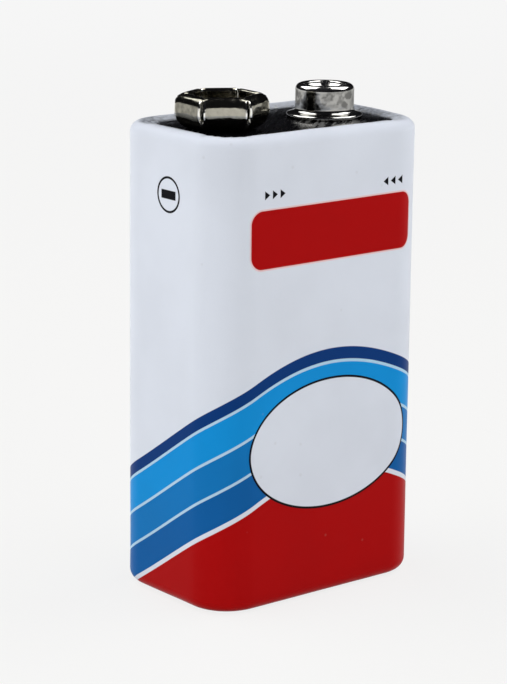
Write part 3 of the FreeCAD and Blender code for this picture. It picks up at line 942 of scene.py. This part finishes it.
def add_cup(skin):
    """The cup up to the slots. Gives its top row, which dips round the slots' feet at the corners."""
    around = [(side, share) for side in range(petal_count) for share in all_shares]
    below = []
    for flat, corner, height, roundness in cup_rows():
        row = []
        for side, share in around:
            spot = hexagon_point(side, share, flat, min(corner, flat))
            spot = spot.lerp(spot.normalized() * flat, roundness)
            # Painted highlight with real rubbing: the cup's corners by the slots' feet are made brighter.
            rubbed = 0.8 if share > 1 and height > slot_low - 0.1 else 0.0
            row.append(skin.add(spot, height, rubbed, side))
        skin.join(below, row + row[:1])
        below = row + row[:1]
    row = []
    for side, share in around:
        height = slot_low + slot_half
        if share > 1:
            offset = wall_round * math.sin((share - 1.5) * 2 * half_side)
            height -= math.sqrt(max(0.0, slot_half ** 2 - offset ** 2))
        spot = hexagon_point(side, share, wall_out(height), wall_round)
        # The top row's corners are brightened the same way: painted highlight with real rubbing.
        row.append(skin.add(spot, height, smooth_step(0.9, 0.96, share), side))
    skin.join(below, row + row[:1])
    return row


def leaf_bow(out, height, share, rise):
    """How far a petal stands out of its flat: bowed outside, with ends eased back, and curled inside."""
    inner_bow, outer_bow, end_ease, end_ridge = -0.012, 0.04, 0.10, 0.05
    end = abs(share)
    curl = leaf_curl * smooth_step(0.8, 1.0, end) * smooth_step(3.4, 3.1, out)
    if out <= outside_leaf:
        return curl + inner_bow * (1 - share ** 2) * rise
    eased = end_ease * share ** 4 * smooth_step(slot_high - 1.4, slot_high - 0.4, height)
    ridge = end_ridge * smooth_step(0.84, 0.97, end)
    return curl + outer_bow * (1 - share ** 2) * rise - eased + ridge


def add_petal(skin, side, below):
    """One petal and its sprung leaf, from its stretch of the cup's top row."""
    outward, forward = side_ways(side)
    lean = petal_leans[side]
    for out, height, gap in petal_path():
        rise = (height - slot_low) / (terminal_top - slot_low)
        reach = out * math.tan(half_side) - gap
        row = []
        for share in flat_shares:
            end = abs(share)
            spot = outward * (out + leaf_bow(out, height, share, rise) + lean * rise)
            spot += forward * reach * share
            at_top = smooth_step(terminal_top - 0.5, terminal_top - 0.05, height)
            sag = petal_sag * rise * (1 + petal_tilt * lean * share)
            sag += leaf_curl * smooth_step(0.8, 1.0, end) * at_top
            # Painted highlight with real rubbing: the slots' edges and the leaf's ends are made brighter.
            rubbed = smooth_step(0.9, 0.96, end) * (gap > 0.1 or out < outside_leaf)
            row.append(skin.add(spot, height - sag, rubbed, side))
        skin.join(below, row)
        below = row


def make_socket(material):
    """Six petals on one cup: a single outer skin, thickened inwards and rounded at its edges."""
    skin = Skin()
    top_row = add_cup(skin)
    for side in range(petal_count):
        first = side * len(all_shares)
        add_petal(skin, side, top_row[first:first + len(flat_shares)])
    turned = Matrix.Rotation(socket_turn, 3, "Z")
    points = [turned @ Vector(point) + Vector((socket_x, 0, 0)) for point in skin.points]
    socket = add_piece("socket_petals", points, skin.faces, material, "negative_socket")
    mark_points(socket, "rubbed", skin.rubbed)
    mark_points(socket, "stained", skin.stained)
    thickness, edge = 0.93 * terminal_sheet * metres_per_mm, 0.10 * metres_per_mm
    solid, rolled = (socket.modifiers.new(kind.lower(), kind) for kind in ("SOLIDIFY", "BEVEL"))
    settle(solid, thickness=thickness, offset=-1.0, use_even_offset=True)
    settle(rolled, width=edge, segments=3, limit_method="ANGLE", angle_limit=math.radians(55))


# The stage

paper_white = (0.99, 0.99, 0.99, 1)
aim_height = 30


def make_floor():
    """A pale floor, shown as white with a soft shadow to the camera and to metal."""
    material, shader, place = new_material("pale paper")
    feed(shader, {"Base Color": (0.62, 0.61, 0.57, 1), "Roughness": 0.9, "Specular IOR Level": 0.1})
    tree = material.node_tree
    away = read(tree, "Value", "VectorMath", {0: place}, operation="LENGTH")
    near, far = 60 * metres_per_mm, 560 * metres_per_mm
    # The rest of each share is the lit floor, which brings the shadow.
    share = seen_or_mirrored(tree) * ramp(away, near, far, 0.82, 0.92)
    glow = read(tree, 0, "Emission", {"Color": paper_white, "Strength": 1.0})
    mixed = read(tree, 0, "MixShader", {0: share, 1: Value(shader.outputs[0]), 2: glow})
    feed(tree.nodes["Material Output"], {"Surface": mixed})
    half = 3000
    corners = [(-half, -half, 0), (half, -half, 0), (half, half, 0), (-half, half, 0)]
    new_object("floor", corners, [(0, 1, 2, 3)], material)


def seen_or_mirrored(tree):
    """1 for rays from the camera, from a mirror and through glass."""
    rays = add_node(tree, "LightPath").outputs
    kinds = ("Is Camera Ray", "Is Glossy Ray", "Is Transmission Ray")
    return largest(*(Value(rays[kind]) for kind in kinds))


def make_world():
    """A studio: a low white backdrop all round, and a dark room above it."""
    world = bpy.data.worlds.new("studio")
    scene.world = world
    world.use_nodes = True
    tree = world.node_tree
    height = read(tree, "Z", "SeparateXYZ", {"Vector": read(tree, "Generated", "TexCoord")})
    shown = blend(ramp(height, 0.02, 0.06, 1.0, 0.0), (0.012, 0.012, 0.014, 1), paper_white)
    feed(tree.nodes["Background"], {"Color": shown, "Strength": 1.0})


def view_way(turn, rise):
    """The way from the object towards a place at a turn and a rise, in degrees."""
    turn, rise = math.radians(turn), math.radians(rise)
    return Vector((math.sin(turn) * math.cos(rise), -math.cos(turn) * math.cos(rise), math.sin(rise)))


def camera_axes():
    """The camera's right, up and back directions."""
    back = view_way(camera_azimuth, camera_elevation)
    azimuth, roll = math.radians(camera_azimuth), math.radians(camera_roll)
    right = Vector((math.cos(azimuth), math.sin(azimuth), 0))
    up = back.cross(right)
    return math.cos(roll) * right + math.sin(roll) * up, math.cos(roll) * up - math.sin(roll) * right, back


def make_camera():
    right, up, back = camera_axes()
    target = Vector((0, 0, target_height)) + target_right * right + target_up * up
    eye = (target + back * camera_distance) * metres_per_mm
    data = settle(
        bpy.data.cameras.new("camera"),
        sensor_fit="VERTICAL", sensor_height=film_height, lens=lens_length, clip_start=0.01,
    )
    camera = bpy.data.objects.new("camera", data)
    camera.matrix_world = Matrix.Translation(eye) @ Matrix((right, up, back)).transposed().to_4x4()
    scene.collection.objects.link(camera)
    scene.camera = camera


def softbox(name, side_turn, rise, distance, width, height, power, tint):
    """An area lamp aimed at the terminals, placed by its turn from the camera and its rise, in degrees."""
    way = view_way(camera_azimuth + side_turn, rise)
    data = settle(
        bpy.data.lights.new(name, "AREA"), shape="RECTANGLE", energy=power, color=tint,
        size=width * metres_per_mm, size_y=height * metres_per_mm,
    )
    lamp = bpy.data.objects.new(name, data)
    lamp.location = (way * distance + Vector((0, 0, aim_height))) * metres_per_mm
    lamp.rotation_euler = way.to_track_quat("Z", "Y").to_euler()
    scene.collection.objects.link(lamp)
    return lamp


def make_lamps():
    """Two softboxes that the metal mirrors, and two fills that it doesn't."""
    box = {"rise": 55, "distance": 420, "width": 320, "height": 310, "tint": (1.0, 1.0, 1.0)}
    softbox("left softbox", -112, power=1.0, **box)
    softbox("right softbox", 109, power=1.0, **box)
    flat = {"rise": 12, "distance": 600, "width": 420, "height": 300, "tint": (0.97, 0.98, 1.0)}
    softbox("left fill", -62, power=2.3, **flat).visible_glossy = False
    softbox("right fill", 48, power=1.98, **flat).visible_glossy = False


# Putting it together

board = black_lacquered_board()
card = plain_card("grey card", (0.34, 0.31, 0.26, 1))
tinned = tinned_strip()
node_finish = {
    "terminal_board": board,
    "base_plate": board,
    "positive_tab": tinned,
    "negative_strip": tinned,
    "end_plate": tinned,
    "spacer_card": card,
    "carton_liner": card,
    "base_card": card,
    "pile_wrap": soft_film("waxed wrap", (0.52, 0.43, 0.24, 1), 0.25, 1.6),
}
cell_finish = {
    "zinc_electrode": rolled_zinc(),
    "electrolyte_paper": plain_card("pasted paper", (0.66, 0.60, 0.47, 1)),
    "paper_tray": plain_card("kraft paper", (0.42, 0.30, 0.17, 1)),
    "mix_cake": pressed_mix(),
    "cell_band": soft_film("shrunk band", (0.46, 0.47, 0.46, 1), 0.4, 0.8),
}
for name, finish in cell_finish.items():
    for number in range(1, 7):
        node_finish[f"{name}_{number}"] = finish

for name, finish in node_finish.items():
    for holder in nodes[name].material_slots:
        holder.material = finish

nickel = nickel_plate("nickel plate", (0.46, 0.44, 0.37, 1), 0.15, 0.012)
make_jacket(printed_tinplate())
make_stud(nickel_plate("stained nickel plate", (0.44, 0.435, 0.415, 1), 0.8, 0.006))
make_rivet(nickel)
make_socket(nickel)

make_floor()
make_world()
make_camera()
make_lamps()
scene.view_settings.view_transform = "Standard"
